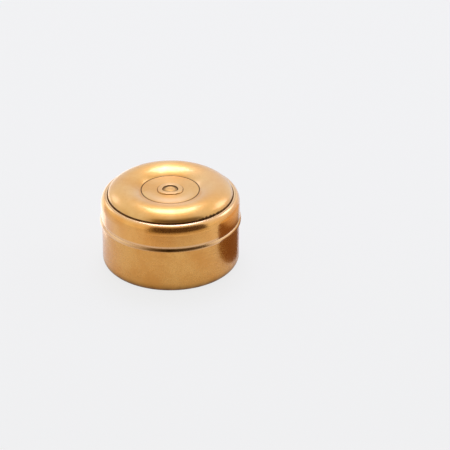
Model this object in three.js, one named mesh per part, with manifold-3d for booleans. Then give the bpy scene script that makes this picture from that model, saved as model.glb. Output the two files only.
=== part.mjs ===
// Brass storage jar with a slip-on lid, made from sheet brass.
// The body is a band with its foot turned in and a base disc soldered on the turned-in flange.
// The lid is a second band, beaded round its mouth and rounded over at its shoulder, with a pressed crown
// soldered into a collar and a riveted boss at its centre. Each band is closed by one upright brazed seam.
// Millimetres, +Z up. The origin is the centre of the foot, on the table. The seams face +Y.
import * as THREE from "three";
import { mergeVertices } from "three/addons/utils/BufferGeometryUtils.js";
import Module from "manifold-3d";

const wasm = await Module();
wasm.setup();

// Body wall: outside radius, height from the table to the rim, sheet, and the turned-in foot
const WALL_RADIUS = 53.4;
const WALL_HEIGHT = 52.3;
const WALL_SHEET = 0.8;
const FOOT_BEND = 5.3;
const FOOT_FLANGE = 3.5;

// Base disc and the solder fillet round it
const BASE_SHEET = 0.9;
const BASE_FILLET = 1.2;

// Lid skirt: slip fit on the wall, seat on the rim, straight depth, shoulder and collar
const LID_CLEARANCE = 0.15;
const LID_SEAT_GAP = 0.3;
const SKIRT_SHEET = 0.4;
const SKIRT_DEPTH = 14.6;
const SHOULDER_REACH = 4.35;
const SHOULDER_RISE = 7;
const COLLAR_BEND = 0.8;

// Rim bead: how far it stands proud of the skirt, its upright face with a rounded foot, and the curved part
// above the face, which ends in a narrow lip
const BEAD_PROUD = 1;
const BEAD_FACE = 0.6;
const BEAD_FOOT = 0.4;
const BEAD_UPPER = 2.3;
const BEAD_LIP = 0.2;

// Crown: a pressed ring round a flat sunken panel with a line engraved just inside its edge, standing in the
// collar on a short flange
const CROWN_SHEET = 0.6;
const CROWN_JOINT = 0.15;
const CROWN_FLANGE = 2.4;
const CROWN_RISE = 7.8;
const CROWN_PEAK_RADIUS = 35.9;
const CROWN_EDGE_ROUND = 6.2;
const GROOVE_DEPTH = 0.4;
const PANEL_RADIUS = 23.1;
const PANEL_DROP = 4.1;
const ENGRAVED_INSET = 0.5;
const ENGRAVED_WIDTH = 0.6;
const ENGRAVED_DEPTH = 0.25;
const CROWN_SOLDER = 0.9;

// Boss: a cupped washer whose top falls from the cup's rim outwards, the rivet in its cup, and the burr that the
// rivet's tail is peened over. The washer is hammered flatter on its front half, and the rivet with it.
const BOSS_RADIUS = 9.7;
const BOSS_FRONT = 7.6;
const BOSS_CUP_RADIUS = 5.3;
const BOSS_HEIGHT = 1.2;
const BOSS_FALL = 0.4;
const BOSS_FLOOR = 0.3;
const BOSS_LEAN = 0.8;
const BOSS_CUP_LEAN = 0.4;
const BOSS_EDGE = 0.3;
const RIVET_HEAD_EDGE = 0.2;
const RIVET_HEAD_DOME = 0.2;
const RIVET_SHANK_RADIUS = 2;
const RIVET_CLEARANCE = 0.15;
const RIVET_TAIL_RADIUS = 3.2;
const RIVET_TAIL_HEIGHT = 1;
const BURR_RADIUS = 5;
const BURR_SHEET = 0.8;

// Seams, and the hairline left between soldered or riveted pieces
const SEAM_WIDTH = 0.8;
const JOINT_GAP = 0.05;

// Facets: round the jar, round the boss, and along a half of each arc
const JAR_FACETS = 48;
const BOSS_FACETS = 32;
const ARC_STEPS = 2;

// Places that follow from the sizes above
const baseUnder = WALL_SHEET + JOINT_GAP;
const baseTop = baseUnder + BASE_SHEET;
const baseRadius = WALL_RADIUS - FOOT_BEND;
const skirtInside = WALL_RADIUS + LID_CLEARANCE;
const skirtOutside = skirtInside + SKIRT_SHEET;
const shoulderCentre = skirtOutside - SHOULDER_REACH;
const shoulderInsideReach = SHOULDER_REACH - SKIRT_SHEET;
const shoulderInsideRise = SHOULDER_RISE - SKIRT_SHEET;
const seatShare = 1 - LID_CLEARANCE / shoulderInsideReach;
const seatRise = shoulderInsideRise * Math.sqrt(1 - seatShare ** 2);
const shoulderStart = WALL_HEIGHT + LID_SEAT_GAP - seatRise;
const lidMouth = shoulderStart - SKIRT_DEPTH;
const shoulderTop = shoulderStart + SHOULDER_RISE;
const collarFace = shoulderCentre - COLLAR_BEND;
const collarFoot = shoulderTop - GROOVE_DEPTH - CROWN_FLANGE;
const crownRadius = collarFace - CROWN_JOINT;
const crownTop = shoulderTop + CROWN_RISE;
const panelTop = crownTop - PANEL_DROP;
const panelUnder = panelTop - CROWN_SHEET;
const rivetHole = RIVET_SHANK_RADIUS + RIVET_CLEARANCE;
const washerFoot = panelTop + JOINT_GAP;
const bossFlattening = BOSS_FRONT / BOSS_RADIUS;
const burrTop = panelUnder - JOINT_GAP;

const polished = new THREE.MeshStandardMaterial({ color: 0xc9954a, roughness: 0.28, metalness: 1 });
const turned = new THREE.MeshStandardMaterial({ color: 0xd8a963, roughness: 0.22, metalness: 1 });
const inside = new THREE.MeshStandardMaterial({ color: 0xb98a48, roughness: 0.4, metalness: 1 });
const solder = new THREE.MeshStandardMaterial({ color: 0x9a7b4c, roughness: 0.5, metalness: 1 });

// Points of a path, without the near-repeats where its curves join.
function pointsOf(path) {
  const samePlace = 1e-4;
  const points = [];
  for (const point of path.getPoints(ARC_STEPS)) {
    const last = points[points.length - 1];
    if (!last || last.distanceTo(point) > samePlace) points.push(point);
  }
  return points;
}

// The path moved sideways by a distance, to the right of its direction, with mitred corners.
function offset(points, distance) {
  const right = (from, to) => {
    const along = to.clone().sub(from).normalize();
    return new THREE.Vector2(along.y, -along.x);
  };
  return points.map((point, i) => {
    const before = i > 0 ? right(points[i - 1], point) : right(point, points[i + 1]);
    const after = i < points.length - 1 ? right(point, points[i + 1]) : before;
    const mitre = before.clone().add(after);
    return point.clone().addScaledVector(mitre, (2 * distance) / mitre.lengthSq());
  });
}

// The closed section of a bent sheet whose path is one face or the middle of the sheet.
function sheetSection(path, toRight, toLeft) {
  const points = pointsOf(path);
  return [...offset(points, toRight), ...offset(points, -toLeft).reverse()];
}

// A section of (radius, height) points, going anticlockwise, turned about Z.
function revolve(section, facets, closed = true) {
  const outline = closed ? [...section, section[0]] : section;
  return new THREE.LatheGeometry(outline, facets).rotateX(Math.PI / 2);
}

function toSolid(geometry) {
  const bare = geometry.clone();
  bare.deleteAttribute("normal");
  bare.deleteAttribute("uv");
  const merged = mergeVertices(bare, 1e-3);
  const vertProperties = merged.getAttribute("position").array;
  return new wasm.Manifold(new wasm.Mesh({ numProp: 3, vertProperties, triVerts: merged.index.array }));
}

function toGeometry(solid) {
  const mesh = solid.getMesh();
  const geometry = new THREE.BufferGeometry();
  geometry.setAttribute("position", new THREE.BufferAttribute(mesh.vertProperties, 3));
  geometry.setIndex(new THREE.BufferAttribute(mesh.triVerts, 1));
  geometry.computeVertexNormals();
  return geometry;
}

// A block on the +Y side, from the axis outwards, taller and deeper than the jar.
function seamBlock(width) {
  const block = new THREE.BoxGeometry(width, 2 * WALL_RADIUS, 4 * crownTop);
  return toSolid(block.translate(0, WALL_RADIUS, 0));
}

// A closed band opened along its seam, and the strip of braze that closes it again.
function splitAtSeam(geometry) {
  const ring = toSolid(geometry);
  const band = toGeometry(ring.subtract(seamBlock(SEAM_WIDTH)));
  const strip = toGeometry(ring.intersect(seamBlock(SEAM_WIDTH - 2 * JOINT_GAP)));
  return { band, strip };
}

function piece(name, geometry, material) {
  const mesh = new THREE.Mesh(geometry, material);
  mesh.name = name;
  return mesh;
}

// Body wall: along the flange, round the foot and up to the rim, by the middle of the sheet
function wallGeometry() {
  const half = WALL_SHEET / 2;
  const bend = FOOT_BEND - half;
  const bendCentre = WALL_RADIUS - FOOT_BEND;
  const path = new THREE.Path();
  path.moveTo(bendCentre - FOOT_FLANGE, half);
  path.lineTo(bendCentre, half);
  path.absarc(bendCentre, FOOT_BEND, bend, -Math.PI / 2, 0);
  path.lineTo(WALL_RADIUS - half, WALL_HEIGHT);
  return revolve(sheetSection(path, half, half), JAR_FACETS);
}

// Base disc: flat on the flange, with its edge where the bend begins
function baseGeometry() {
  const section = [
    new THREE.Vector2(0, baseUnder),
    new THREE.Vector2(baseRadius, baseUnder),
    new THREE.Vector2(baseRadius, baseTop),
    new THREE.Vector2(0, baseTop),
  ];
  return revolve(section, JAR_FACETS, false);
}

// Base solder: fills the wedge between the disc's edge and the bend, and hollows up the wall
function baseSolderGeometry() {
  const wallFace = WALL_RADIUS - WALL_SHEET - JOINT_GAP;
  const bend = FOOT_BEND - WALL_SHEET - JOINT_GAP;
  const startAngle = -Math.acos(JOINT_GAP / bend);
  const top = Math.max(FOOT_BEND, baseTop) + BASE_FILLET;
  const toe = baseRadius - BASE_FILLET;
  const path = new THREE.Path();
  path.absarc(WALL_RADIUS - FOOT_BEND, FOOT_BEND, bend, startAngle, 0);
  path.lineTo(wallFace, top);
  path.quadraticCurveTo(wallFace, baseTop + JOINT_GAP, toe, baseTop + JOINT_GAP);
  path.lineTo(baseRadius + JOINT_GAP, baseTop + JOINT_GAP);
  return revolve(pointsOf(path), JAR_FACETS);
}

// Lid skirt: by the middle of its sheet, up from the mouth, over the shoulder and down the collar
function skirtGeometry() {
  const half = SKIRT_SHEET / 2;
  const reach = SHOULDER_REACH - half;
  const rise = SHOULDER_RISE - half;
  const fold = COLLAR_BEND - half;
  const path = new THREE.Path();
  path.moveTo(skirtInside + half, lidMouth);
  path.lineTo(skirtInside + half, shoulderStart);
  path.absellipse(shoulderCentre, shoulderStart, reach, rise, 0, Math.PI / 4);
  path.absellipse(shoulderCentre, shoulderStart, reach, rise, Math.PI / 4, Math.PI / 2);
  path.absarc(shoulderCentre, shoulderTop - COLLAR_BEND, fold, Math.PI / 2, Math.PI);
  path.lineTo(shoulderCentre - fold, collarFoot);
  return revolve(sheetSection(path, half, half), JAR_FACETS);
}

// Rim bead: a strip with a flat back and an upright face, easing back to a narrow lip against the skirt
function beadGeometry() {
  const back = skirtOutside + JOINT_GAP;
  const face = back + BEAD_PROUD;
  const faceTop = lidMouth + BEAD_FACE;
  const top = faceTop + BEAD_UPPER;
  const eased = BEAD_PROUD - BEAD_LIP;
  const rise = BEAD_UPPER - BEAD_LIP;
  const arc = (rise ** 2 + eased ** 2) / (2 * eased);
  const path = new THREE.Path();
  path.moveTo(back, lidMouth);
  path.lineTo(face - BEAD_FOOT, lidMouth);
  path.absarc(face - BEAD_FOOT, lidMouth + BEAD_FOOT, BEAD_FOOT, -Math.PI / 2, 0);
  path.lineTo(face, faceTop);
  path.absarc(face - arc, faceTop, arc, 0, Math.asin(rise / arc));
  path.quadraticCurveTo(back + BEAD_LIP / 2, top, back, top);
  return revolve(pointsOf(path), JAR_FACETS);
}

// Crown: up the flange, round the edge, over the peak, down to the panel and in to the rivet hole, by its top
// face. The two outer arcs share a tangent, at a slope that follows from how far and how high they go.
function crownGeometry() {
  const upright = shoulderTop - GROOVE_DEPTH;
  const across = crownRadius - CROWN_PEAK_RADIUS;
  const rise = crownTop - upright;
  const most = 0.9;
  const edge = Math.min(CROWN_EDGE_ROUND, most * across, most * rise);
  const slope = 2 * Math.atan((rise - edge) / (across - edge));
  const outer = edge + (across - edge) / Math.sin(slope);
  const innerAcross = CROWN_PEAK_RADIUS - PANEL_RADIUS;
  const innerSlope = 2 * Math.atan(PANEL_DROP / innerAcross);
  const inner = innerAcross / Math.sin(innerSlope);
  const engraved = PANEL_RADIUS - ENGRAVED_INSET;
  const path = new THREE.Path();
  path.moveTo(crownRadius, collarFoot);
  path.lineTo(crownRadius, upright);
  path.absarc(crownRadius - edge, upright, edge, 0, Math.PI / 2 - slope);
  path.absarc(CROWN_PEAK_RADIUS, crownTop - outer, outer, Math.PI / 2 - slope, Math.PI / 2);
  path.absarc(CROWN_PEAK_RADIUS, crownTop - inner, inner, Math.PI / 2, Math.PI / 2 + innerSlope);
  path.lineTo(engraved + ENGRAVED_WIDTH / 2, panelTop);
  path.lineTo(engraved, panelTop - ENGRAVED_DEPTH);
  path.lineTo(engraved - ENGRAVED_WIDTH / 2, panelTop);
  path.lineTo(rivetHole, panelTop);
  return revolve(sheetSection(path, 0, CROWN_SHEET), JAR_FACETS);
}

// Crown solder: a bead under the collar and the crown's flange, which hang side by side
function crownSolderGeometry() {
  const reach = collarFace + SKIRT_SHEET - (crownRadius - CROWN_SHEET);
  const centre = collarFace + SKIRT_SHEET - reach / 2;
  const path = new THREE.Path();
  path.absellipse(centre, collarFoot - JOINT_GAP, reach / 2, CROWN_SOLDER, Math.PI, 2 * Math.PI);
  return revolve(pointsOf(path), JAR_FACETS);
}

// A geometry whose front half, towards -Y, is pushed back to a share of its depth.
function flattened(geometry) {
  const places = geometry.getAttribute("position");
  for (let i = 0; i < places.count; i += 1) {
    places.setY(i, places.getY(i) * (places.getY(i) < 0 ? bossFlattening : 1));
  }
  return geometry;
}

// Boss washer: a thin floor under the rivet's head inside a raised ring. Both walls of the ring lean in towards
// its top, and its two edges are rounded.
function washerGeometry() {
  const foot = new THREE.Vector2(BOSS_RADIUS, washerFoot);
  const crest = new THREE.Vector2(BOSS_RADIUS - BOSS_LEAN, washerFoot + BOSS_HEIGHT - BOSS_FALL);
  const rim = new THREE.Vector2(BOSS_CUP_RADIUS + BOSS_CUP_LEAN, washerFoot + BOSS_HEIGHT);
  const corner = new THREE.Vector2(BOSS_CUP_RADIUS, washerFoot + BOSS_FLOOR);
  const shortOf = (end, from) => end.clone().addScaledVector(from.clone().sub(end).normalize(), BOSS_EDGE);
  const path = new THREE.Path();
  path.moveTo(rivetHole, washerFoot);
  path.lineTo(foot.x, foot.y);
  for (const [before, edge, after] of [[foot, crest, rim], [crest, rim, corner]]) {
    const start = shortOf(edge, before);
    const end = shortOf(edge, after);
    path.lineTo(start.x, start.y);
    path.quadraticCurveTo(edge.x, edge.y, end.x, end.y);
  }
  path.lineTo(corner.x, corner.y);
  path.lineTo(rivetHole, corner.y);
  return flattened(revolve(pointsOf(path), BOSS_FACETS));
}

// Boss rivet: peened tail, shank through burr, crown and washer, and a low domed head
function rivetGeometry() {
  const headUnder = washerFoot + BOSS_FLOOR + JOINT_GAP;
  const headEdge = headUnder + RIVET_HEAD_EDGE;
  const headRadius = BOSS_CUP_RADIUS - RIVET_CLEARANCE;
  const tailTop = burrTop - BURR_SHEET - JOINT_GAP;
  const path = new THREE.Path();
  path.absellipse(0, tailTop, RIVET_TAIL_RADIUS, RIVET_TAIL_HEIGHT, -Math.PI / 2, 0);
  path.lineTo(RIVET_SHANK_RADIUS, tailTop);
  path.lineTo(RIVET_SHANK_RADIUS, headUnder);
  path.lineTo(headRadius, headUnder);
  path.absellipse(0, headEdge, headRadius, RIVET_HEAD_DOME, 0, Math.PI / 2);
  const section = pointsOf(path);
  section[0].x = 0;
  section[section.length - 1].x = 0;
  return flattened(revolve(section, BOSS_FACETS, false));
}

// Rivet burr: a flat washer inside the lid
function burrGeometry() {
  const section = [
    new THREE.Vector2(rivetHole, burrTop - BURR_SHEET),
    new THREE.Vector2(BURR_RADIUS, burrTop - BURR_SHEET),
    new THREE.Vector2(BURR_RADIUS, burrTop),
    new THREE.Vector2(rivetHole, burrTop),
  ];
  return revolve(section, BOSS_FACETS);
}

const wall = splitAtSeam(wallGeometry());
const body = new THREE.Group();
body.add(
  piece("body_wall", wall.band, polished),
  piece("wall_seam", wall.strip, solder),
  piece("base_disc", baseGeometry(), inside),
  piece("base_solder", baseSolderGeometry(), solder),
);

const skirt = splitAtSeam(skirtGeometry());
const lid = new THREE.Group();
lid.add(
  piece("lid_skirt", skirt.band, polished),
  piece("skirt_seam", skirt.strip, solder),
  piece("rim_bead", beadGeometry(), polished),
  piece("lid_crown", crownGeometry(), turned),
  piece("crown_solder", crownSolderGeometry(), solder),
  piece("boss_washer", washerGeometry(), turned),
  piece("boss_rivet", rivetGeometry(), turned),
  piece("rivet_burr", burrGeometry(), inside),
);

const jar = new THREE.Group();
jar.add(body, lid);

export default jar;
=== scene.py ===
import math

import bpy
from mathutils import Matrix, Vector, noise


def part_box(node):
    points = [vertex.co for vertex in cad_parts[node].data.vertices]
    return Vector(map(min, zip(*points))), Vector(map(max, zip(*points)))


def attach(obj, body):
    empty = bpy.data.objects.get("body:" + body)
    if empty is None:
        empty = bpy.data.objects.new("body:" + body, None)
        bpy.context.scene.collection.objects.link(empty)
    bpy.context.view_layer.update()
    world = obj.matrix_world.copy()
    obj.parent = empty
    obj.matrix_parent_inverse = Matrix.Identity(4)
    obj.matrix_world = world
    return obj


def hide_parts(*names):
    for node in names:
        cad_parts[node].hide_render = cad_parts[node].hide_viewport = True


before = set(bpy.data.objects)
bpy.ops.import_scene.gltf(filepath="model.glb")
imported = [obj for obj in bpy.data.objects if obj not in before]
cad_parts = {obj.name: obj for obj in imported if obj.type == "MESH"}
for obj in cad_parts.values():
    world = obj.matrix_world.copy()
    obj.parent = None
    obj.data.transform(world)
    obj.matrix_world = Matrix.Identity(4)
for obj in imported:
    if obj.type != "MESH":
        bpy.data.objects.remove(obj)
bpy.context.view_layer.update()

# Body wall
# A band of sheet brass rolled into a tube and brazed shut at the back, with its foot turned in to a flat
# flange. It was rolled, polished and lacquered by hand: a little out of round, scratched and mottled.

MM = 0.001
FULL_TURN = 2 * math.pi
ROUND_STEPS = 288
TINY = 1e-6

wall_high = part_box("body_wall")[1]
wall_radius = wall_high.x
wall_height = wall_high.z
wall_sheet = 0.8 * MM
foot_bend = 5.3 * MM
foot_flange = 3.5 * MM
foot_held = 6 * MM
# Painted shade round the foot: how high it reaches and how dark it gets.
foot_shade_height = 8 * MM
foot_shade = 0.95
true_from = 32 * MM
true_over = 10 * MM
seam_half = 0.4 * MM


def straight(start, end, steps):
    """Points on a straight run, both ends included."""
    return [Vector(start).lerp(Vector(end), step / steps) for step in range(steps + 1)]


def bent(centre, reach, rise, start, end, steps):
    """Points on a stretch of an ellipse about centre, from one angle to another, in degrees."""
    points = []
    for step in range(steps + 1):
        angle = math.radians(start + (end - start) * step / steps)
        points.append(Vector((centre[0] + reach * math.cos(angle), centre[1] + rise * math.sin(angle))))
    return points


def joined(*stretches):
    """One path out of several stretches, without the repeated points where they meet."""
    same_place = 1e-3 * MM
    path = []
    for point in (point for stretch in stretches for point in stretch):
        if not path or (path[-1] - point).length > same_place:
            path.append(point)
    return path


def moved_aside(path, distance):
    """The path moved to the right of its direction, with mitred corners."""
    sides = []
    for here, there in zip(path, path[1:]):
        along = (there - here).normalized()
        sides.append(Vector((along.y, -along.x)))
    aside = []
    for point, before, after in zip(path, [sides[0], *sides], [*sides, sides[-1]]):
        mitre = before + after
        aside.append(point + mitre * (2 * distance / mitre.length_squared))
    return aside


def sheet_section(path, to_right, to_left):
    """The closed section of a bent sheet along a path, with both cut edges rounded."""
    edge_steps = 6
    right = moved_aside(path, to_right)
    left = moved_aside(path, -to_left)

    def cut_edge(start, end):
        middle = (start + end) / 2
        across = start - middle
        outward = Vector((-across.y, across.x))
        turns = [math.pi * step / edge_steps for step in range(1, edge_steps)]
        return [middle + across * math.cos(turn) + outward * math.sin(turn) for turn in turns]

    return [*right, *cut_edge(right[-1], left[-1]), *reversed(left), *cut_edge(left[0], right[0])]


def turned(
    name,
    section,
    start=0.0,
    end=FULL_TURN,
    steps=ROUND_STEPS,
    open_section=False,
    uneven=None,
    grime_and_shade=None,
    wear_and_sheen=None,
):
    """A mesh swept round Z from a section of (radius, height) points that goes anticlockwise.
    Angle 0 is the front and half a turn is the back. uneven says how far a point is moved outward and upward.
    Every point keeps its angle and its way along the section in "turning", for marks that go round the piece,
    and two shares of its colour: a dark one for old polish and painted shade, and a pale one for places
    bright from rubbing and for painted highlights."""
    sharp_from = math.radians(55)
    whole = end - start > FULL_TURN - TINY
    columns = steps if whole else steps + 1
    points = []
    turning = []
    darkening = []
    shine = []
    rows = []
    way = 0.0
    for index, (radius, height) in enumerate(section):
        if index:
            way += (section[index] - section[index - 1]).length
        on_axis = radius < TINY * MM
        row = []
        for column in range(1 if on_axis else columns):
            angle = start + (end - start) * column / steps
            outward, upward = uneven(radius, height, angle) if uneven and not on_axis else (0.0, 0.0)
            around = Vector((math.sin(angle), -math.cos(angle)))
            place = around * (radius + outward)
            row.append(len(points))
            points.append((place.x, place.y, height + upward))
            turning.append((around.x, around.y, way / MM))
            darkening.append(grime_and_shade(radius, height, angle) if grime_and_shade else 0.0)
            shine.append(wear_and_sheen(radius, height, angle) if wear_and_sheen else 0.0)
        rows.append(row * columns if on_axis else row)
    faces = []
    next_rows = rows[1:] if open_section else [*rows[1:], rows[0]]
    for below, above in zip(rows, next_rows):
        for column in range(steps):
            beside = (column + 1) % columns
            corners = [below[column], below[beside], above[beside], above[column]]
            face = list(dict.fromkeys(corners))
            if len(face) > 2:
                faces.append(face)
    if not whole:
        faces.append([row[0] for row in rows])
        faces.append([row[-1] for row in reversed(rows)])
    mesh = bpy.data.meshes.new(name)
    mesh.from_pydata(points, [], faces)
    kept_turning = mesh.attributes.new("turning", "FLOAT_VECTOR", "POINT")
    kept_turning.data.foreach_set("vector", [number for triple in turning for number in triple])
    for kept, values in (("grime_and_shade", darkening), ("wear_and_sheen", shine)):
        mesh.attributes.new(kept, "FLOAT", "POINT").data.foreach_set("value", values)
    mesh.shade_smooth()
    mesh.set_sharp_from_angle(angle=sharp_from)
    piece = bpy.data.objects.new(name, mesh)
    bpy.context.collection.objects.link(piece)
    return piece


def ripple(angle, count, where):
    """Smooth unevenness round a piece, from -1 to 1: finer with a larger count, and another at each where."""
    return noise.noise(Vector((count * math.sin(angle), count * math.cos(angle), where)))


def waver(angle, height, size, depth, where):
    """Slow lumps of about that size and depth, round the wall and up it."""
    return depth * ripple(angle, wall_radius / size, height / size + where)


def patchy(angle, count, where, share):
    """A covering that is thinner in patches round a piece, by up to twice that share."""
    return 1 - share + share * ripple(angle, count, where)


def clamped(share):
    """The share, kept between 0 and 1."""
    return min(1.0, max(0.0, share))


def near(value, place, spread):
    """1 at a place, falling smoothly to 0 at that distance from it."""
    share = max(0.0, 1 - abs(value - place) / spread)
    return share * share * (3 - 2 * share)


def brass(name, bright, warm, stained, polish, lines, line_depth, lacquer=0.7, brushed=0.0):
    """Brass that was polished by hand and has dulled since, but not where hands and cloths rub it, with
    painted shade and painted highlights on it as well.
    bright, warm and stained are its colours from clean to dull, and polish is its roughness. lines says how
    many marks to a millimetre run round it, and line_depth how deep they are. lacquer says how much clear
    coat is left on it, and brushed how much finer lines round it draw its reflections out across them."""
    # A pale colour for places bright from rubbing and for painted highlights, and a dark one for old polish
    # and for painted shade.
    rubbed_and_sheen = (0.92, 0.67, 0.42)
    old_polish_and_shade = (0.045, 0.018, 0.005)
    blotch_scale = 45.0
    speck_scale = 420.0
    dent_scale = 130.0
    marks_around = 2.5
    speck_share = 0.15
    mark_share = 0.12
    wear_smooths = 0.06
    grime_dulls = 0.3
    coat_roughness = 0.16
    quarter_turn = 0.25
    line_strength = 0.35
    dent_depth = 0.025 * MM
    dent_strength = 0.5
    material = bpy.data.materials.new(name)
    material.use_nodes = True
    nodes = material.node_tree.nodes
    links = material.node_tree.links
    shader = nodes["Principled BSDF"]
    shader.inputs["Metallic"].default_value = 1.0

    def kept(attribute):
        reader = nodes.new("ShaderNodeAttribute")
        reader.attribute_name = attribute
        return reader.outputs

    place = nodes.new("ShaderNodeTexCoord").outputs["Object"]
    turning = kept("turning")["Vector"]
    grime_and_shade = kept("grime_and_shade")["Fac"]
    wear_and_sheen = kept("wear_and_sheen")["Fac"]

    def cloud(vector, scale, detail, roughness=0.55):
        texture = nodes.new("ShaderNodeTexNoise")
        texture.inputs["Scale"].default_value = scale
        texture.inputs["Detail"].default_value = detail
        texture.inputs["Roughness"].default_value = roughness
        links.new(vector, texture.inputs["Vector"])
        return texture.outputs["Fac"]

    def stretched(vector, factors):
        stretch = nodes.new("ShaderNodeVectorMath")
        stretch.operation = "MULTIPLY"
        stretch.inputs[1].default_value = factors
        links.new(vector, stretch.inputs[0])
        return stretch.outputs["Vector"]

    def spread(value, between, onto):
        reach = nodes.new("ShaderNodeMapRange")
        for socket, number in zip(("From Min", "From Max", "To Min", "To Max"), (*between, *onto)):
            reach.inputs[socket].default_value = number
        links.new(value, reach.inputs["Value"])
        return reach.outputs["Result"]

    def mixed(share, first, second):
        mix = nodes.new("ShaderNodeMix")
        mix.data_type = "RGBA"
        for socket, colour in ((mix.inputs["A"], first), (mix.inputs["B"], second)):
            if isinstance(colour, tuple):
                socket.default_value = (*colour, 1.0)
            else:
                links.new(colour, socket)
        links.new(share, mix.inputs["Factor"])
        return mix.outputs["Result"]

    def reckon(operation, first, second):
        sum_node = nodes.new("ShaderNodeMath")
        sum_node.operation = operation
        for socket, value in zip(sum_node.inputs, (first, second)):
            if isinstance(value, float):
                socket.default_value = value
            else:
                links.new(value, socket)
        return sum_node.outputs["Value"]

    clouds = cloud(place, blotch_scale, detail=4.0)
    specks = cloud(place, speck_scale, detail=3.0)
    dents = cloud(place, dent_scale, detail=1.5)
    along_marks = stretched(turning, (marks_around, marks_around, lines))
    marks = cloud(along_marks, scale=1.0, detail=3.0, roughness=0.7)

    cleaner = mixed(spread(clouds, between=(0.38, 0.65), onto=(0.0, 1.0)), warm, bright)
    spotted = mixed(spread(specks, between=(0.55, 0.75), onto=(0.0, speck_share)), cleaner, stained)
    lined = mixed(spread(marks, between=(0.55, 0.8), onto=(0.0, mark_share)), spotted, stained)
    worn_and_lit = mixed(wear_and_sheen, lined, rubbed_and_sheen)
    links.new(mixed(grime_and_shade, worn_and_lit, old_polish_and_shade), shader.inputs["Base Color"])

    blotch_dullness = spread(clouds, between=(0.3, 0.7), onto=(0.05, -0.03))
    mark_dullness = spread(marks, between=(0.3, 0.7), onto=(-0.03, 0.05))
    speck_dullness = spread(specks, between=(0.4, 0.7), onto=(polish - 0.02, polish + 0.05))
    rough = reckon("ADD", reckon("ADD", blotch_dullness, mark_dullness), speck_dullness)
    rubbed_smooth = reckon("SUBTRACT", rough, reckon("MULTIPLY", wear_and_sheen, wear_smooths))
    caked = reckon("ADD", rubbed_smooth, reckon("MULTIPLY", grime_and_shade, grime_dulls))
    links.new(caked, shader.inputs["Roughness"])
    if lacquer:
        shader.inputs["Coat Roughness"].default_value = coat_roughness
        clean = reckon("SUBTRACT", 1.0, grime_and_shade)
        links.new(reckon("MULTIPLY", clean, lacquer), shader.inputs["Coat Weight"])
    if brushed:
        shader.inputs["Anisotropic"].default_value = brushed
        shader.inputs["Anisotropic Rotation"].default_value = quarter_turn
        round_going = nodes.new("ShaderNodeTangent")
        round_going.direction_type = "RADIAL"
        round_going.axis = "Z"
        links.new(round_going.outputs["Tangent"], shader.inputs["Tangent"])

    def bump(height, depth, strength):
        bumped = nodes.new("ShaderNodeBump")
        bumped.inputs["Distance"].default_value = depth
        bumped.inputs["Strength"].default_value = strength
        links.new(height, bumped.inputs["Height"])
        return bumped

    lined_bump = bump(marks, line_depth, line_strength)
    dented_bump = bump(dents, dent_depth, dent_strength)
    links.new(lined_bump.outputs["Normal"], dented_bump.inputs["Normal"])
    links.new(dented_bump.outputs["Normal"], shader.inputs["Normal"])
    return material


def finished(piece, material, body, node):
    """Gives a piece its finish, and puts it on its body in place of the plain solid."""
    piece.data.materials.append(material)
    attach(piece, body)
    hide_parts(node)


wall_half = wall_sheet / 2
wall_middle = wall_radius - wall_half
bend_centre = (wall_radius - foot_bend, foot_bend)
bend_middle = foot_bend - wall_half
wall_path = joined(
    straight((bend_centre[0] - foot_flange, wall_half), (bend_centre[0], wall_half), 4),
    bent(bend_centre, bend_middle, bend_middle, -90, 0, 18),
    straight((wall_middle, foot_bend), (wall_middle, wall_height - wall_half), 30),
)
wall_section = sheet_section(wall_path, wall_half, wall_half)


def wall_uneven(radius, height, angle):
    """Out of round by a tenth of a millimetre low on the wall, and true where the lid slips on."""
    free = clamped((true_from - height) / true_over)
    held = clamped(height / foot_held)
    lumps = waver(angle, height, size=30 * MM, depth=0.16 * MM, where=3)
    dents = waver(angle, height, size=9 * MM, depth=0.04 * MM, where=7)
    return (lumps + dents) * free * held, 0.0


def wall_foot_shade(radius, height, angle):
    """Painted shade round the foot, darkest at the bottom and patchy round the wall."""
    return foot_shade * near(height, 0.0, foot_shade_height) * patchy(angle, count=9, where=1, share=0.2)


wall_gap = seam_half / wall_radius
wall_brass = brass(
    "wall_brass",
    bright=(0.82, 0.415, 0.092),
    warm=(0.76, 0.335, 0.055),
    stained=(0.46, 0.175, 0.02),
    polish=0.27,
    lines=1.2,
    line_depth=0.006 * MM,
)
wall = turned(
    "jar_wall", wall_section, -math.pi + wall_gap, math.pi - wall_gap, uneven=wall_uneven, grime_and_shade=wall_foot_shade
)
finished(wall, wall_brass, "jar", "body_wall")

# Wall seam
# A strip of brazing metal run into the upright joint of the band and filed almost flush, so it shows as a
# paler, duller line down the back.

braze_gap = 0.05 * MM
seam_gap = 0.004 * MM
file_depth = 0.03 * MM
file_stroke = 2 * MM
braze = brass(
    "braze",
    bright=(0.66, 0.43, 0.16),
    warm=(0.54, 0.33, 0.11),
    stained=(0.34, 0.18, 0.05),
    polish=0.34,
    lines=0.6,
    line_depth=0.02 * MM,
    lacquer=0.0,
)


def braze_uneven(radius, height, angle):
    """Filed by hand, so slightly hollow in places and never proud."""
    return -file_depth + file_depth * noise.noise(Vector((0, 0, height / file_stroke))), 0.0


def seam_strip(name, section, radius):
    """The strip that fills a band's upright joint, on the same section as the band."""
    half = (seam_half - seam_gap) / radius
    return turned(name, section, math.pi - half, math.pi + half, steps=4, uneven=braze_uneven)


finished(seam_strip("jar_wall_braze", wall_section, wall_radius), braze, "jar", "wall_seam")

# Base disc
# A disc of sheet brass laid on the flange inside the band. It was never polished inside, so it is dull, and
# it shows the round marks of the tool that trued it.

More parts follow.
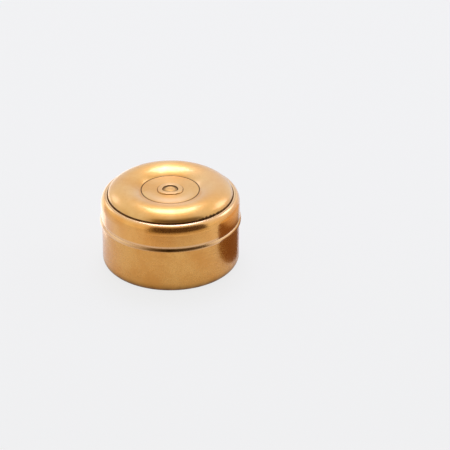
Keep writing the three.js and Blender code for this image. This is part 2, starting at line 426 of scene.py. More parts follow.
base_low, base_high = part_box("base_disc")
base_radius = base_high.x
base_round = 0.25 * MM
base_held = 8 * MM
base_buckle = 0.12 * MM
base_wave = 14 * MM
base_dust = 0.5
base_dust_width = 7 * MM
base_section = joined(
    [Vector((0.0, base_low.z))],
    bent((base_radius - base_round, base_low.z + base_round), base_round, base_round, -90, 0, 4),
    bent((base_radius - base_round, base_high.z - base_round), base_round, base_round, 0, 90, 4),
    straight((base_radius - base_round, base_high.z), (0.0, base_high.z), 40),
)


def base_uneven(radius, height, angle):
    """Sheet that the solder's heat has buckled a little, but not at its edge, where the flange holds it."""
    loose = clamped((base_radius - radius) / base_held)
    return 0.0, -base_buckle * loose * abs(noise.noise(Vector((radius / base_wave, angle, 2))))


def base_grime(radius, height, angle):
    """Dust and tarnish in the corner with the wall."""
    return base_dust * near(radius, base_radius, base_dust_width)


inside_brass = brass(
    "inside_brass",
    bright=(0.58, 0.36, 0.12),
    warm=(0.5, 0.29, 0.085),
    stained=(0.28, 0.13, 0.035),
    polish=0.36,
    lines=1.6,
    line_depth=0.012 * MM,
    lacquer=0.0,
)
base = turned("jar_base", base_section, open_section=True, uneven=base_uneven, grime_and_shade=base_grime)
finished(base, inside_brass, "jar", "base_disc")

# Base solder
# Solder run round the disc's edge from the inside. It fills the wedge under the disc's edge, hollows up the
# wall and ends in a slightly ragged line on the disc.

solder_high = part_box("base_solder")[1]
solder_radius = solder_high.x
solder_foot = base_high.z + braze_gap
solder_bend = foot_bend - wall_sheet - braze_gap
solder_toe = base_radius - 1.2 * MM
solder_ragged = 0.35 * MM
solder_ragged_width = 1.0 * MM


def curved(start, corner, end, steps):
    """Points on a smooth curve from start to end that bends towards a corner."""
    shares = [step / steps for step in range(steps + 1)]
    return [start.lerp(corner, share).lerp(corner.lerp(end, share), share) for share in shares]


solder_top = Vector((solder_radius, solder_high.z))
solder_corner = Vector((solder_radius, solder_foot))
solder_start = -math.degrees(math.acos(braze_gap / solder_bend))
solder_section = joined(
    bent(bend_centre, solder_bend, solder_bend, solder_start, 0, 8),
    curved(solder_top, solder_corner, Vector((solder_toe, solder_foot)), 10),
    [Vector((base_radius + braze_gap, solder_foot))],
)


def solder_uneven(radius, height, angle):
    """The ragged inner edge of the fillet."""
    at_toe = near(radius, solder_toe, solder_ragged_width)
    return at_toe * solder_ragged * ripple(angle, count=12, where=4), 0.0


base_fillet = turned("jar_base_solder", solder_section, uneven=solder_uneven)
finished(base_fillet, braze, "jar", "base_solder")

# Lid skirt
# A second band of sheet brass, which slips over the body. Its top is spun over into a round shoulder with a
# chased line near its inner edge, and turned down into a short collar that holds the crown.

skirt_low, skirt_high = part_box("lid_skirt")
bead_low, bead_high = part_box("rim_bead")
skirt_radius = skirt_high.x
skirt_sheet = 0.4 * MM
skirt_half = skirt_sheet / 2
shoulder_reach = 4.35 * MM
shoulder_rise = 7.0 * MM
collar_bend = 0.8 * MM
collar_depth = 2.8 * MM
shoulder_centre = skirt_radius - shoulder_reach
shoulder_start = skirt_high.z - shoulder_rise
chased_line = shoulder_centre + 0.9 * MM
chased_depth = 0.07 * MM
chased_width = 0.35 * MM
chased_dirt = 0.5
skirt_dent = 0.05 * MM
skirt_dent_size = 9 * MM
groove_width = 0.4 * MM
corner_width = 0.7 * MM
sides_gain = 1.4
# Faint painted shade on the skirt's front.
front_shade = 0.15
front_shade_at = math.radians(8)
front_shade_half = math.radians(40)
# Painted highlights on the skirt: along the shoulder's top, wider on the right, just above the bead, and on
# its left.
shoulder_sheen = 0.75
sheen_lip = shoulder_centre - 0.3 * MM
sheen_lip_width = 3.5 * MM
sheen_lip_wider = 1.5 * MM
sheen_right = math.radians(60)
sheen_above = bead_high.z + 0.8 * MM
sheen_above_width = 1.0 * MM
above_sheen = 0.6
sheen_left = math.radians(-80)
sheen_half = math.radians(45)
left_sheen = 0.35

skirt_middle = skirt_radius - skirt_half
shoulder_across = shoulder_reach - skirt_half
shoulder_up = shoulder_rise - skirt_half
collar_middle = shoulder_centre - collar_bend + skirt_half
collar_turn = collar_bend - skirt_half
collar_top = skirt_high.z - collar_bend
collar_foot = skirt_high.z - collar_depth + skirt_half
skirt_path = joined(
    straight((skirt_middle, skirt_low.z + skirt_half), (skirt_middle, shoulder_start), 12),
    bent((shoulder_centre, shoulder_start), shoulder_across, shoulder_up, 0, 90, 48),
    bent((shoulder_centre, collar_top), collar_turn, collar_turn, 90, 180, 8),
    straight((collar_middle, collar_top), (collar_middle, collar_foot), 4),
)
skirt_section = sheet_section(skirt_path, skirt_half, skirt_half)


def skirt_uneven(radius, height, angle):
    """Slight dents on the skirt, and the chased line on the shoulder."""
    if height > shoulder_start:
        return 0.0, -chased_depth * near(radius, chased_line, chased_width)
    return skirt_dent * abs(ripple(angle, count=4, where=height / skirt_dent_size)), 0.0


def toward_sides(angle):
    """How far round towards the sides a place near the mouth lies: most at the sides, where the bead has
    painted highlights and less painted shade, and the corner above it less old polish.
    """
    return clamped(sides_gain * abs(math.sin(angle)))


def skirt_dirt_and_shade(radius, height, angle):
    """Old polish in the groove beside the crown, in the chased line and in the corner above the bead, and
    faint painted shade on the front, where the skirt reflects the unlit side."""
    if height > shoulder_start:
        groove = near(radius, shoulder_centre - collar_bend, groove_width)
        chased = chased_dirt * near(radius, chased_line, chased_width)
        return patchy(angle, count=14, where=5, share=0.1) * max(groove, chased)
    corner = (1 - toward_sides(angle)) * near(height, bead_high.z, corner_width)
    return max(corner, front_shade * near(angle, front_shade_at, front_shade_half))


def skirt_sheen(radius, height, angle):
    """Painted highlights along the top of the shoulder, just above the bead and on the left of the skirt."""
    if height > shoulder_start:
        lip_width = sheen_lip_width + sheen_lip_wider * near(angle, sheen_right, sheen_right)
        return shoulder_sheen * near(radius, sheen_lip, lip_width)
    above_bead = above_sheen * near(height, sheen_above, sheen_above_width)
    return max(above_bead, left_sheen * near(angle, sheen_left, sheen_half))


skirt_gap = seam_half / skirt_radius
lid_brass = brass(
    "lid_brass",
    bright=(0.9, 0.45, 0.105),
    warm=(0.82, 0.35, 0.058),
    stained=(0.48, 0.185, 0.02),
    polish=0.2,
    lines=1.2,
    line_depth=0.003 * MM,
)
skirt = turned(
    "lid_skirt_band",
    skirt_section,
    -math.pi + skirt_gap,
    math.pi - skirt_gap,
    uneven=skirt_uneven,
    grime_and_shade=skirt_dirt_and_shade,
    wear_and_sheen=skirt_sheen,
)
finished(skirt, lid_brass, "lid", "lid_skirt")

# Skirt seam
# A strip of brazing metal in the upright joint of the lid's band, at the back over the body's own seam. It is
# filed almost flush too.

finished(seam_strip("lid_skirt_braze", skirt_section, skirt_radius), braze, "lid", "skirt_seam")

# Rim bead
# A strip of brass soldered round the outside of the lid's mouth to stiffen it. Its face is upright below and
# eases back to the skirt above. A painted highlight runs along its sides, brightest on its narrow upper lip,
# and painted shade with some old polish darkens its front and back.

bead_back = skirt_radius + braze_gap
bead_face = bead_high.x
bead_foot = 0.4 * MM
bead_face_top = bead_low.z + 0.6 * MM
bead_lip = 0.2 * MM
bead_dressed = 0.1 * MM
# Darkening of the bead's middle: partly old polish, partly painted shade.
bead_dark = 0.93
bead_dark_at = bead_low.z + 1.8 * MM
bead_dark_width = 1.7 * MM
bead_dark_gain = 1.6
# Painted highlight on the bead's sides: how far down from the lip it is brightest, and how bright the rest of
# the face is.
bead_lip_sheen = 0.7 * MM
bead_face_sheen = 0.5

bead_eased = bead_face - bead_back - bead_lip
bead_rise = bead_high.z - bead_lip - bead_face_top
bead_arc = (bead_rise ** 2 + bead_eased ** 2) / (2 * bead_eased)
bead_slope = math.degrees(math.asin(bead_rise / bead_arc))
bead_section = joined(
    straight((bead_back, bead_low.z), (bead_face - bead_foot, bead_low.z), 2),
    bent((bead_face - bead_foot, bead_low.z + bead_foot), bead_foot, bead_foot, -90, 0, 8),
    straight((bead_face, bead_low.z + bead_foot), (bead_face, bead_face_top), 6),
    bent((bead_face - bead_arc, bead_face_top), bead_arc, bead_arc, 0, bead_slope, 16),
    bent((bead_back, bead_high.z - bead_lip), bead_lip, bead_lip, bead_slope, 90, 8),
    straight((bead_back, bead_high.z), (bead_back, bead_low.z), 4),
)


def bead_uneven(radius, height, angle):
    """Worn and dressed by hand, never proud of its full size."""
    outer = (radius - bead_back) / (bead_face - bead_back)
    return -outer * bead_dressed * abs(ripple(angle, count=7, where=8)), 0.0


def bead_dirt_and_shade(radius, height, angle):
    """Darker along the bead's middle at the front and back: partly old polish, partly painted shade."""
    thick = clamped(bead_dark_gain * near(height, bead_dark_at, bead_dark_width))
    return bead_dark * (1 - toward_sides(angle)) * thick


def bead_sheen(radius, height, angle):
    """Painted highlight at the sides, brightest along the upper lip."""
    return toward_sides(angle) * max(near(height, bead_high.z, bead_lip_sheen), bead_face_sheen)


bead = turned("lid_bead", bead_section, uneven=bead_uneven, grime_and_shade=bead_dirt_and_shade, wear_and_sheen=bead_sheen)
finished(bead, lid_brass, "lid", "rim_bead")

# Crown
# The lid's top, pressed from sheet brass and turned on the lathe: a broad raised ring round a flat sunken
# panel, with an engraved line where they meet. It stands in the collar, and the joint shows as a dark line.

crown_low, crown_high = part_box("lid_crown")
boss_low, boss_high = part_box("boss_washer")
crown_radius = crown_high.x
crown_sheet = 0.6 * MM
crown_upright = skirt_high.z - 0.4 * MM
crown_peak = 35.9 * MM
crown_edge = 5.5 * MM
panel_radius = 23.1 * MM
panel_drop = 4.1 * MM
panel_dome = 0.12 * MM
panel_wave = 0.05 * MM
panel_wave_size = 8 * MM
panel_top = crown_high.z - panel_drop
rivet_hole = 2.15 * MM
engraved_line = panel_radius - 0.5 * MM
engraved_depth = 0.2 * MM
engraved_width = 0.6 * MM
engraved_shift = 0.3 * MM
engraved_gain = 1.5
engraved_dirt = 0.95
engraved_cleaner = 0.35
dressed_at = skirt_high.z + 0.6 * MM
dressed_width = 2.2 * MM
dressed_depth = 0.12 * MM
joint_at = skirt_high.z + 0.4 * MM
joint_fill = 0.5 * MM
joint_fill_varies = 0.15 * MM
joint_edge = 0.3 * MM
joint_gain = 2
joint_gap_at = math.radians(40)
joint_gap_half = math.radians(26)
joint_gap_fill = 0.5 * MM
joint_gap_varies = 2.0 * MM
# Painted highlights on the front of the panel and on the ring's right.
panel_sheen = 0.45
panel_sheen_at = engraved_line - 5 * MM
panel_sheen_width = 6 * MM
ring_sheen = 0.25
ring_sheen_at = math.radians(110)
ring_sheen_half = sheen_half * 1.5
boss_radius = boss_high.x
boss_cup = 5.6 * MM
boss_squareness = 2.5
boss_front_inside = 0.8
boss_front_outward = 0.07
boss_corner = 0.07
boss_corner_at = math.radians(78)
boss_corner_half = math.radians(35)
boss_dirt_at = boss_radius + 0.3 * MM
boss_dirt_width = 0.7 * MM
boss_dirt_front = 0.2
boss_dirt_sides = 0.55

crown_across = crown_radius - crown_peak
crown_rise = crown_high.z - crown_upright
outer_slope = 2 * math.atan((crown_rise - crown_edge) / (crown_across - crown_edge))
outer_arc = crown_edge + (crown_across - crown_edge) / math.sin(outer_slope)
inner_slope = 2 * math.atan(panel_drop / (crown_peak - panel_radius))
inner_arc = (crown_peak - panel_radius) / math.sin(inner_slope)
outer_turn = 90 - math.degrees(outer_slope)
inner_turn = 90 + math.degrees(inner_slope)

# The panel's points lie closer at the engraved line and round the boss.
panel_stops = [panel_radius, panel_radius - 1.2 * MM, 12 * MM, 7 * MM, rivet_hole]
panel_steps = [12, 10, 25, 4]
panel_runs = [
    straight((start, panel_top), (end, panel_top), steps)
    for start, end, steps in zip(panel_stops, panel_stops[1:], panel_steps)
]
crown_path = joined(
    straight((crown_radius, crown_low.z + crown_sheet / 2), (crown_radius, crown_upright), 4),
    bent((crown_radius - crown_edge, crown_upright), crown_edge, crown_edge, 0, outer_turn, 24),
    bent((crown_peak, crown_high.z - outer_arc), outer_arc, outer_arc, outer_turn, 90, 24),
    bent((crown_peak, crown_high.z - inner_arc), inner_arc, inner_arc, 90, inner_turn, 24),
    *panel_runs,
)
crown_section = sheet_section(crown_path, 0.0, crown_sheet)


def boss_outline(radius, angle):
    """How far the boss reaches at an angle, as a share of its radius: round behind, with a flattened front.
    Its cup is flatter there than its outside, and has corners at the sides."""
    outward = clamped((radius - boss_cup) / (boss_radius - boss_cup))
    cornered = 1 + boss_corner * (1 - outward) * near(abs(angle), boss_corner_at, boss_corner_half)
    if math.cos(angle) < 0:
        return cornered
    front = boss_front_inside + boss_front_outward * outward
    sideways = abs(math.sin(angle)) ** boss_squareness
    forward = (math.cos(angle) / front) ** boss_squareness
    return cornered * (sideways + forward) ** (-1 / boss_squareness)


def crown_uneven(radius, height, angle):
    """The engraved line, a slightly domed and wavy panel, and an edge that was dressed by eye."""
    line = near(radius, engraved_line, engraved_width)
    across = clamped((radius - boss_radius) / (engraved_line - boss_radius))
    inside = across if radius < engraved_line + engraved_width else 0.0
    waves = panel_wave * abs(ripple(angle, count=2, where=radius / panel_wave_size))
    sunk = inside * (panel_dome * inside + waves) + engraved_depth * line
    at_edge = near(height, dressed_at, dressed_width) if radius > crown_peak else 0.0
    dressed = dressed_depth * at_edge * abs(ripple(angle, count=11, where=6))
    return -dressed, -sunk


def crown_grime(radius, height, angle):
    """Old polish in the joint with the collar, in the engraved line and round the boss."""
    fill = joint_fill + joint_fill_varies * ripple(angle, count=3, where=15)
    ragged = joint_gap_fill + joint_gap_varies * ripple(angle, count=24, where=3)
    fill += near(angle, joint_gap_at, joint_gap_half) * ragged
    in_joint = near(height, joint_at, fill + joint_edge) if radius > crown_peak else 0.0
    joint = clamped(joint_gain * in_joint)
    at_boss = near(radius / boss_outline(boss_radius, angle), boss_dirt_at, boss_dirt_width)
    round_boss = (boss_dirt_front + boss_dirt_sides * abs(math.sin(angle))) * at_boss
    toward_front = max(0.0, math.cos(angle))
    in_line = near(radius, engraved_line - engraved_shift * toward_front, engraved_width)
    engraved = min(engraved_dirt - engraved_cleaner * toward_front, engraved_gain * in_line)
    return max(patchy(angle, count=12, where=9, share=0.1) * max(joint, round_boss), engraved)


def crown_sheen(radius, height, angle):
    """Painted highlight, pale on the front of the panel, and a little on the ring's right."""
    if radius < engraved_line:
        return panel_sheen * near(radius, panel_sheen_at, panel_sheen_width) * max(0.0, math.cos(angle))
    return ring_sheen * near(angle, ring_sheen_at, ring_sheen_half)


crown_brass = brass(
    "crown_brass",
    bright=(0.82, 0.475, 0.15),
    warm=(0.74, 0.37, 0.078),
    stained=(0.5, 0.23, 0.045),
    polish=0.33,
    lines=2.4,
    line_depth=0.005 * MM,
    lacquer=0.9,
    brushed=0.5,
)
crown = turned("lid_crown_top", crown_section, uneven=crown_uneven, grime_and_shade=crown_grime, wear_and_sheen=crown_sheen)
finished(crown, crown_brass, "lid", "lid_crown")

# Crown solder
# Solder run round the foot of the collar and the crown's flange from inside the lid. It holds the crown, and
# it hangs in a low round bead that ran thick and thin.

crown_solder_low, crown_solder_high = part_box("crown_solder")
crown_solder_outside = crown_solder_high.x
crown_solder_half = (crown_solder_outside - (crown_radius - crown_sheet)) / 2
crown_solder_centre = crown_solder_outside - crown_solder_half
crown_solder_depth = crown_solder_high.z - crown_solder_low.z
crown_solder_thinner = 0.3 * MM
crown_solder_section = bent(
    (crown_solder_centre, crown_solder_high.z), crown_solder_half, crown_solder_depth, 180, 360, 14
)


def crown_solder_uneven(radius, height, angle):
    """Thinner in places, most at its lowest."""
    hung = (crown_solder_high.z - height) / crown_solder_depth
    return 0.0, crown_solder_thinner * hung * abs(ripple(angle, count=9, where=3))


crown_fillet = turned("lid_crown_solder", crown_solder_section, uneven=crown_solder_uneven)
finished(crown_fillet, braze, "lid", "crown_solder")

# Boss washer
# A small cupped brass washer at the centre of the panel: a thin floor under the rivet's head inside a low
# raised ring with a nearly flat top. A hammer shaped it: its front is flattened and its cup has corners.

BOSS_STEPS = 120
boss_cup_lean = 0.4 * MM
boss_floor = boss_low.z + 0.3 * MM
boss_top = boss_low.z + 0.75 * MM
boss_fall = 0.05 * MM
boss_lean = 0.2 * MM
boss_edge = 0.25 * MM
boss_dent_in = 0.15 * MM
boss_dent_down = 0.12 * MM
boss_foot_dirt = 0.2
boss_foot_dirt_height = 0.35 * MM
# Darkening in the cup: partly old polish, partly painted shade.
boss_cup_dark = 0.95
boss_cup_dark_top = boss_top - 0.1 * MM
boss_shine = 0.2
boss_shine_height = 0.2 * MM


def rounded_corner(before, corner, after, steps):
    """Points of a corner of the washer that is rounded off."""
    start = corner + (before - corner).normalized() * boss_edge
    end = corner + (after - corner).normalized() * boss_edge
    return curved(start, corner, end, steps)


boss_foot = Vector((boss_radius, boss_low.z))
boss_crest = Vector((boss_radius - boss_lean, boss_top - boss_fall))
boss_rim = Vector((boss_cup + boss_cup_lean, boss_top))
cup_corner = Vector((boss_cup, boss_floor))
boss_section = joined(
    straight((rivet_hole, boss_low.z), boss_foot, 4),
    straight(boss_foot, boss_foot.lerp(boss_crest, 0.5), 4),
    rounded_corner(boss_foot, boss_crest, boss_rim, 8),
    rounded_corner(boss_crest, boss_rim, cup_corner, 8),
    straight(cup_corner.lerp(boss_rim, 0.5), cup_corner, 4),
    straight(cup_corner, (rivet_hole, boss_floor), 4),
)


def boss_uneven(radius, height, angle):
    """A ring that the hammer left a little wavy, inside its full size."""
    raised = max(0.0, (height - boss_floor) / (boss_top - boss_floor))
    lumps = raised * abs(ripple(angle, count=1.6, where=11))
    return -boss_dent_in * lumps, -boss_dent_down * lumps


def boss_dirt_and_shade(radius, height, angle):
    """Dirt where the ring meets the panel, and darkening in the cup round the rivet, partly old polish and
    partly painted shade.
    """
    at_foot = boss_foot_dirt * near(height, boss_low.z, boss_foot_dirt_height) if radius > boss_cup else 0.0
    in_cup = boss_cup_dark if radius < boss_rim.x and height < boss_cup_dark_top else 0.0
    return max(at_foot, in_cup)


def boss_wear(radius, height, angle):
    """Rubbed bright along the rim."""
    return boss_shine * near(height, boss_top, boss_shine_height)


def flattened(piece):
    """Gives a piece of the boss the boss's outline, above the washer's underside."""
    for point in piece.data.vertices:
        if point.co.z > boss_low.z - braze_gap:
            reach = boss_outline(math.hypot(point.co.x, point.co.y), math.atan2(point.co.x, -point.co.y))
            point.co.x *= reach
            point.co.y *= reach
    return piece


boss = turned(
    "boss_cup_washer", boss_section, steps=BOSS_STEPS, uneven=boss_uneven, grime_and_shade=boss_dirt_and_shade, wear_and_sheen=boss_wear
)
finished(flattened(boss), crown_brass, "lid", "boss_washer")

# Boss rivet
# The brass rivet that holds the washer to the crown: a low domed head in the cup, a shank through the panel,
# and a tail peened over the burr inside the lid.

rivet_low, rivet_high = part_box("boss_rivet")
rivet_head = rivet_high.x
rivet_shank = 2.0 * MM
rivet_tail = 3.2 * MM
rivet_tail_depth = 1.0 * MM
rivet_tail_top = rivet_low.z + rivet_tail_depth
rivet_head_under = boss_floor + braze_gap
rivet_head_edge = rivet_head_under + 0.05 * MM
rivet_head_rise = 0.15 * MM
facet_size = 2.2 * MM
facet_depth = 0.06 * MM
facet_from = 2 * MM
# Darkening round the head: old polish all round, and painted shade that grows towards the back.
rivet_dark = 0.6
rivet_shade_behind = 0.35
rivet_dark_gain = 1.8
rivet_dark_width = 2.2 * MM
rivet_section = joined(
    bent((0.0, rivet_tail_top), rivet_tail, rivet_tail_depth, -90, 0, 12),
    straight((rivet_shank, rivet_tail_top), (rivet_shank, rivet_head_under), 4),
    [Vector((rivet_head, rivet_head_under))],
    bent((0.0, rivet_head_edge), rivet_head, rivet_head_rise, 0, 90, 20),
)
rivet_section[0].x = 0.0
rivet_section[-1].x = 0.0


def rivet_uneven(radius, height, angle):
    """Hammer facets on the head and on the peened tail, cut into their full size."""
    facets = noise.noise(Vector((radius * math.sin(angle), radius * math.cos(angle), height)) / facet_size)
    cut = facet_depth * clamped(radius / facet_from) * abs(facets)
    return 0.0, -cut if height > rivet_head_edge else cut


def rivet_dirt_and_shade(radius, height, angle):
    """Darkening round the head's edge: some old polish all round, and painted shade from the cup's back wall
    that grows towards the back.
    """
    thick = clamped(rivet_dark_gain * near(radius, rivet_head, rivet_dark_width))
    return (rivet_dark - rivet_shade_behind * math.cos(angle)) * thick


rivet = turned(
    "boss_rivet_peened",
    rivet_section,
    steps=BOSS_STEPS,
    open_section=True,
    uneven=rivet_uneven,
    grime_and_shade=rivet_dirt_and_shade,
)
finished(flattened(rivet), crown_brass, "lid", "boss_rivet")

# Rivet burr
# A flat washer punched from sheet brass, with rounded edges. It sits under the panel inside the lid, and the
# rivet's tail is peened over it.

burr_low, burr_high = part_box("rivet_burr")
burr_radius = burr_high.x
burr_round = 0.2 * MM
burr_section = joined(
    straight((rivet_hole, burr_low.z), (burr_radius - burr_round, burr_low.z), 4),
    bent((burr_radius - burr_round, burr_low.z + burr_round), burr_round, burr_round, -90, 0, 4),
    bent((burr_radius - burr_round, burr_high.z - burr_round), burr_round, burr_round, 0, 90, 4),
    straight((burr_radius - burr_round, burr_high.z), (rivet_hole, burr_high.z), 4),
)
burr = turned("boss_burr", burr_section, steps=BOSS_STEPS)
finished(burr, inside_brass, "lid", "rivet_burr")

# Floor
# A plain pale table top that runs out of sight. Its own paleness reaches the camera and the brass, and part
# of it stays a matt surface, so the jar's soft shadow still falls on it.

PALE = (0.896, 0.896, 0.896, 1)
floor_half = 3.0
floor_roughness = 0.9
floor_plain_seen = 0.88
floor_plain_mirrored = 0.35

floor_mesh = bpy.data.meshes.new("floor")
floor_corners = [
    (-floor_half, -floor_half, 0),
    (floor_half, -floor_half, 0),
    (floor_half, floor_half, 0),
    (-floor_half, floor_half, 0),
]
floor_mesh.from_pydata(floor_corners, [], [(0, 1, 2, 3)])
floor = bpy.data.objects.new("floor", floor_mesh)
bpy.context.collection.objects.link(floor)


def by_ray(tree, seen, mirrored):
    """One value for rays from the camera or through glass, another for rays off metal, and 0 for scattered
    light."""
    path = tree.nodes.new("ShaderNodeLightPath")
    total = None
    for ray, value in (("Is Camera Ray", seen), ("Is Transmission Ray", seen), ("Is Glossy Ray", mirrored)):
        share = tree.nodes.new("ShaderNodeMath")
        share.operation = "MULTIPLY"
        share.inputs[1].default_value = value
        tree.links.new(path.outputs[ray], share.inputs[0])
        if total is None:
            total = share.outputs["Value"]
            continue
        larger = tree.nodes.new("ShaderNodeMath")
        larger.operation = "MAXIMUM"
        tree.links.new(total, larger.inputs[0])
        tree.links.new(share.outputs["Value"], larger.inputs[1])
        total = larger.outputs["Value"]
    return total


floor_paint = bpy.data.materials.new("floor_paint")
floor_paint.use_nodes = True
floor_tree = floor_paint.node_tree
floor_matt = floor_tree.nodes["Principled BSDF"]
floor_matt.inputs["Base Color"].default_value = PALE
floor_matt.inputs["Roughness"].default_value = floor_roughness
floor_plain = floor_tree.nodes.new("ShaderNodeEmission")
floor_plain.inputs["Color"].default_value = PALE
floor_mix = floor_tree.nodes.new("ShaderNodeMixShader")
floor_tree.links.new(by_ray(floor_tree, floor_plain_seen, floor_plain_mirrored), floor_mix.inputs["Fac"])
floor_tree.links.new(floor_matt.outputs["BSDF"], floor_mix.inputs[1])
floor_tree.links.new(floor_plain.outputs["Emission"], floor_mix.inputs[2])
floor_tree.links.new(floor_mix.outputs["Shader"], floor_tree.nodes["Material Output"].inputs["Surface"])
floor_mesh.materials.append(floor_paint)

# Room
# Pale walls all round. Only the brass sees the rest: an unlit side in front with its shade on the table,
# which it shows as dark bands, a brown drum with a pale top on the right and a white card on the left. These
# all glow with their own colours: the drum's top is painted paler, as if lit from above, and the card glows
# brighter than white as a painted reflection.

room_scattered = 0.6
unlit_reach = 0.55
unlit_columns = 40
unlit_rows = 20
unlit_left = -33
unlit_right = 58
unlit_fade = 44
unlit_top = 64
unlit_dark = (0.095, 0.066, 0.052)
unlit_pale = (0.64, 0.6, 0.53)
shade_near = 0.16
shade_height = 0.5 * MM
shade_pale = (0.62, 0.58, 0.52)
drum_centre = Vector((0.1, -0.002, 0.0))
drum_columns = 48
drum_radius = 0.04
drum_side = 0.035
drum_round = 0.004
drum_height = 0.039
# The drum's brown sides, and its top painted paler as if lit from above.
drum_brown_to = 0.032
drum_brown = (0.23, 0.11, 0.043)
drum_lit_top = (0.8, 0.62, 0.38)
card_columns = 20
card_left = -160
card_right = -100
card_reach = 0.085
card_height = 0.06
# The card glows brighter than white, as a painted reflection.
card_glow_strength = 1.35

world = bpy.data.worlds.new("pale_room")
bpy.context.scene.world = world
world.use_nodes = True
world_tree = world.node_tree
room_light = world_tree.nodes["Background"]
room_light.inputs["Color"].default_value = PALE
room_strength = world_tree.nodes.new("ShaderNodeMath")
room_strength.operation = "MAXIMUM"
room_strength.inputs[1].default_value = room_scattered
world_tree.links.new(by_ray(world_tree, seen=1.0, mirrored=1.0), room_strength.inputs[0])
world_tree.links.new(room_strength.outputs["Value"], room_light.inputs["Strength"])


def toward(azimuth, elevation):
    """The direction of an azimuth from the front and an elevation, in degrees."""
    turn, tilt = math.radians(azimuth), math.radians(elevation)
    return Vector((math.sin(turn) * math.cos(tilt), -math.cos(turn) * math.cos(tilt), math.sin(tilt)))


def evenly(first, last, steps):
    """Numbers from first to last in even steps, both included."""
    return [first + (last - first) * step / steps for step in range(steps + 1)]


def straight_up(height):
    """A step upward by a height."""
    return Vector((0, 0, height))


def grid_faces(columns, rows):
    """Four-sided faces of a grid of points that was filled column by column."""
    faces = []
    for column in range(columns):
        for row in range(rows):
            corner = column * (rows + 1) + row
            faces.append((corner, corner + rows + 1, corner + rows + 2, corner + 1))
    return faces


def mirrored_only(name, points, faces, material):
    """A backdrop that only polished surfaces see."""
    mesh = bpy.data.meshes.new(name)
    mesh.from_pydata(points, [], faces)
    mesh.materials.append(material)
    mesh.shade_smooth()
    backdrop = bpy.data.objects.new(name, mesh)
    backdrop.visible_camera = False
    backdrop.visible_diffuse = False
    backdrop.visible_shadow = False
    bpy.context.collection.objects.link(backdrop)


def glowing_paint(name, brightness=1.0):
    """Paint that glows with its own colour, so it shows that colour however the room is lit."""
    paint = bpy.data.materials.new(name)
    paint.use_nodes = True
    shader = paint.node_tree.nodes["Principled BSDF"]
    shader.inputs["Base Color"].default_value = (0, 0, 0, 1)
    shader.inputs["Specular IOR Level"].default_value = 0.0
    shader.inputs["Emission Color"].default_value = (1, 1, 1, 1)
    shader.inputs["Emission Strength"].default_value = brightness
    return paint


def shaded_paint(name, axis, low, low_colour, high, high_colour):
    """Glowing paint that goes from one colour to another between two places along an axis."""
    paint = glowing_paint(name)
    tree = paint.node_tree
    place = tree.nodes.new("ShaderNodeTexCoord")
    parts = tree.nodes.new("ShaderNodeSeparateXYZ")
    reach = tree.nodes.new("ShaderNodeMapRange")
    reach.inputs["From Min"].default_value = low
    reach.inputs["From Max"].default_value = high
    mix = tree.nodes.new("ShaderNodeMix")
    mix.data_type = "RGBA"
    mix.inputs["A"].default_value = (*low_colour, 1)
    mix.inputs["B"].default_value = (*high_colour, 1)
    tree.links.new(place.outputs["Object"], parts.inputs["Vector"])
    tree.links.new(parts.outputs[axis], reach.inputs["Value"])
    tree.links.new(reach.outputs["Result"], mix.inputs["Factor"])
    tree.links.new(mix.outputs["Result"], tree.nodes["Principled BSDF"].inputs["Emission Color"])
    return paint


unlit_azimuths = evenly(unlit_left, unlit_right, unlit_columns)
unlit_elevations = evenly(0, unlit_top, unlit_rows)
fade_low = toward(0, unlit_fade).z * unlit_reach
fade_high = toward(0, unlit_top).z * unlit_reach
mirrored_only(
    "unlit_side",
    [
        toward(azimuth, elevation) * unlit_reach
        for azimuth in unlit_azimuths
        for elevation in unlit_elevations
    ],
    grid_faces(unlit_columns, unlit_rows),
    shaded_paint("unlit_paint", "Z", fade_low, unlit_dark, fade_high, unlit_pale),
)

shade_reaches = (shade_near, unlit_reach)
mirrored_only(
    "shaded_table",
    [
        toward(azimuth, 0) * reach + straight_up(shade_height)
        for azimuth in unlit_azimuths
        for reach in shade_reaches
    ],
    grid_faces(unlit_columns, len(shade_reaches) - 1),
    shaded_paint("shade_paint", "Y", -unlit_reach, unlit_dark, -shade_near, shade_pale),
)

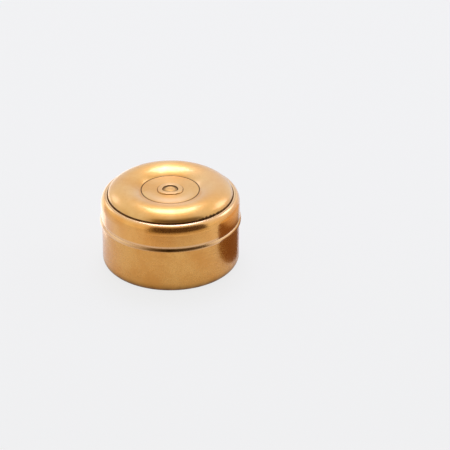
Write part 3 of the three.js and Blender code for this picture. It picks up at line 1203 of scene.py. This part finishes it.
drum_outline = (
    (drum_radius, 0.0),
    (drum_radius, drum_side),
    (drum_radius - drum_round, drum_height),
    (0.0, drum_height),
)
mirrored_only(
    "brown_drum",
    [
        drum_centre + toward(azimuth, 0) * reach + straight_up(height)
        for azimuth in evenly(0, 360, drum_columns)
        for reach, height in drum_outline
    ],
    grid_faces(drum_columns, len(drum_outline) - 1),
    shaded_paint("drum_paint", "Z", drum_brown_to, drum_brown, drum_height, drum_lit_top),
)

card_azimuths = evenly(card_left, card_right, card_columns)
card_heights = (0.0, card_height)
mirrored_only(
    "glowing_white_card",
    [
        toward(azimuth, 0) * card_reach + straight_up(height)
        for azimuth in card_azimuths
        for height in card_heights
    ],
    grid_faces(card_columns, len(card_heights) - 1),
    glowing_paint("card_glow", card_glow_strength),
)

# Lights
# One large soft box overhead and a little behind, which makes the broad highlights on the crown and shoulder,
# and two weaker ones low at the back that light the crown's sides.

lamp_colour = (0.95, 1.0, 1.45)


def soft_box(name, azimuth, elevation, distance, width, depth, brightness):
    """A rectangular lamp that looks at the jar from a direction, in degrees."""
    away = toward(azimuth, elevation)
    lamp = bpy.data.lights.new(name, "AREA")
    lamp.shape = "RECTANGLE"
    lamp.size = width
    lamp.size_y = depth
    lamp.energy = brightness * math.pi * width * depth
    lamp.color = lamp_colour
    box = bpy.data.objects.new(name, lamp)
    box.location = away * distance
    box.rotation_euler = away.to_track_quat("Z", "Y").to_euler()
    bpy.context.collection.objects.link(box)


soft_box("overhead_box", azimuth=180, elevation=68, distance=1.3, width=0.56, depth=0.6, brightness=4.4)
soft_box("left_box", azimuth=-130, elevation=28, distance=1.5, width=0.5, depth=0.5, brightness=0.7)
soft_box("right_box", azimuth=118, elevation=34, distance=1.5, width=0.6, depth=0.6, brightness=1.5)

# Camera
# Looks down at the jar from the front with a long lens, and aims to its right, so the jar stands left of the
# middle.

width_in_view = 0.3511
camera_elevation = 29.5
camera_distance = 2.2
aim = Vector((0.0424, 0.0, 0.0298))

camera_data = bpy.data.cameras.new("camera")
camera_data.sensor_fit = "HORIZONTAL"
camera_data.lens = camera_data.sensor_width * camera_distance / width_in_view
camera = bpy.data.objects.new("camera", camera_data)
camera_way = toward(0, camera_elevation)
camera.location = aim + camera_way * camera_distance
camera.rotation_euler = camera_way.to_track_quat("Z", "Y").to_euler()
bpy.context.collection.objects.link(camera)
bpy.context.scene.camera = camera
bpy.context.scene.view_settings.view_transform = "Standard"
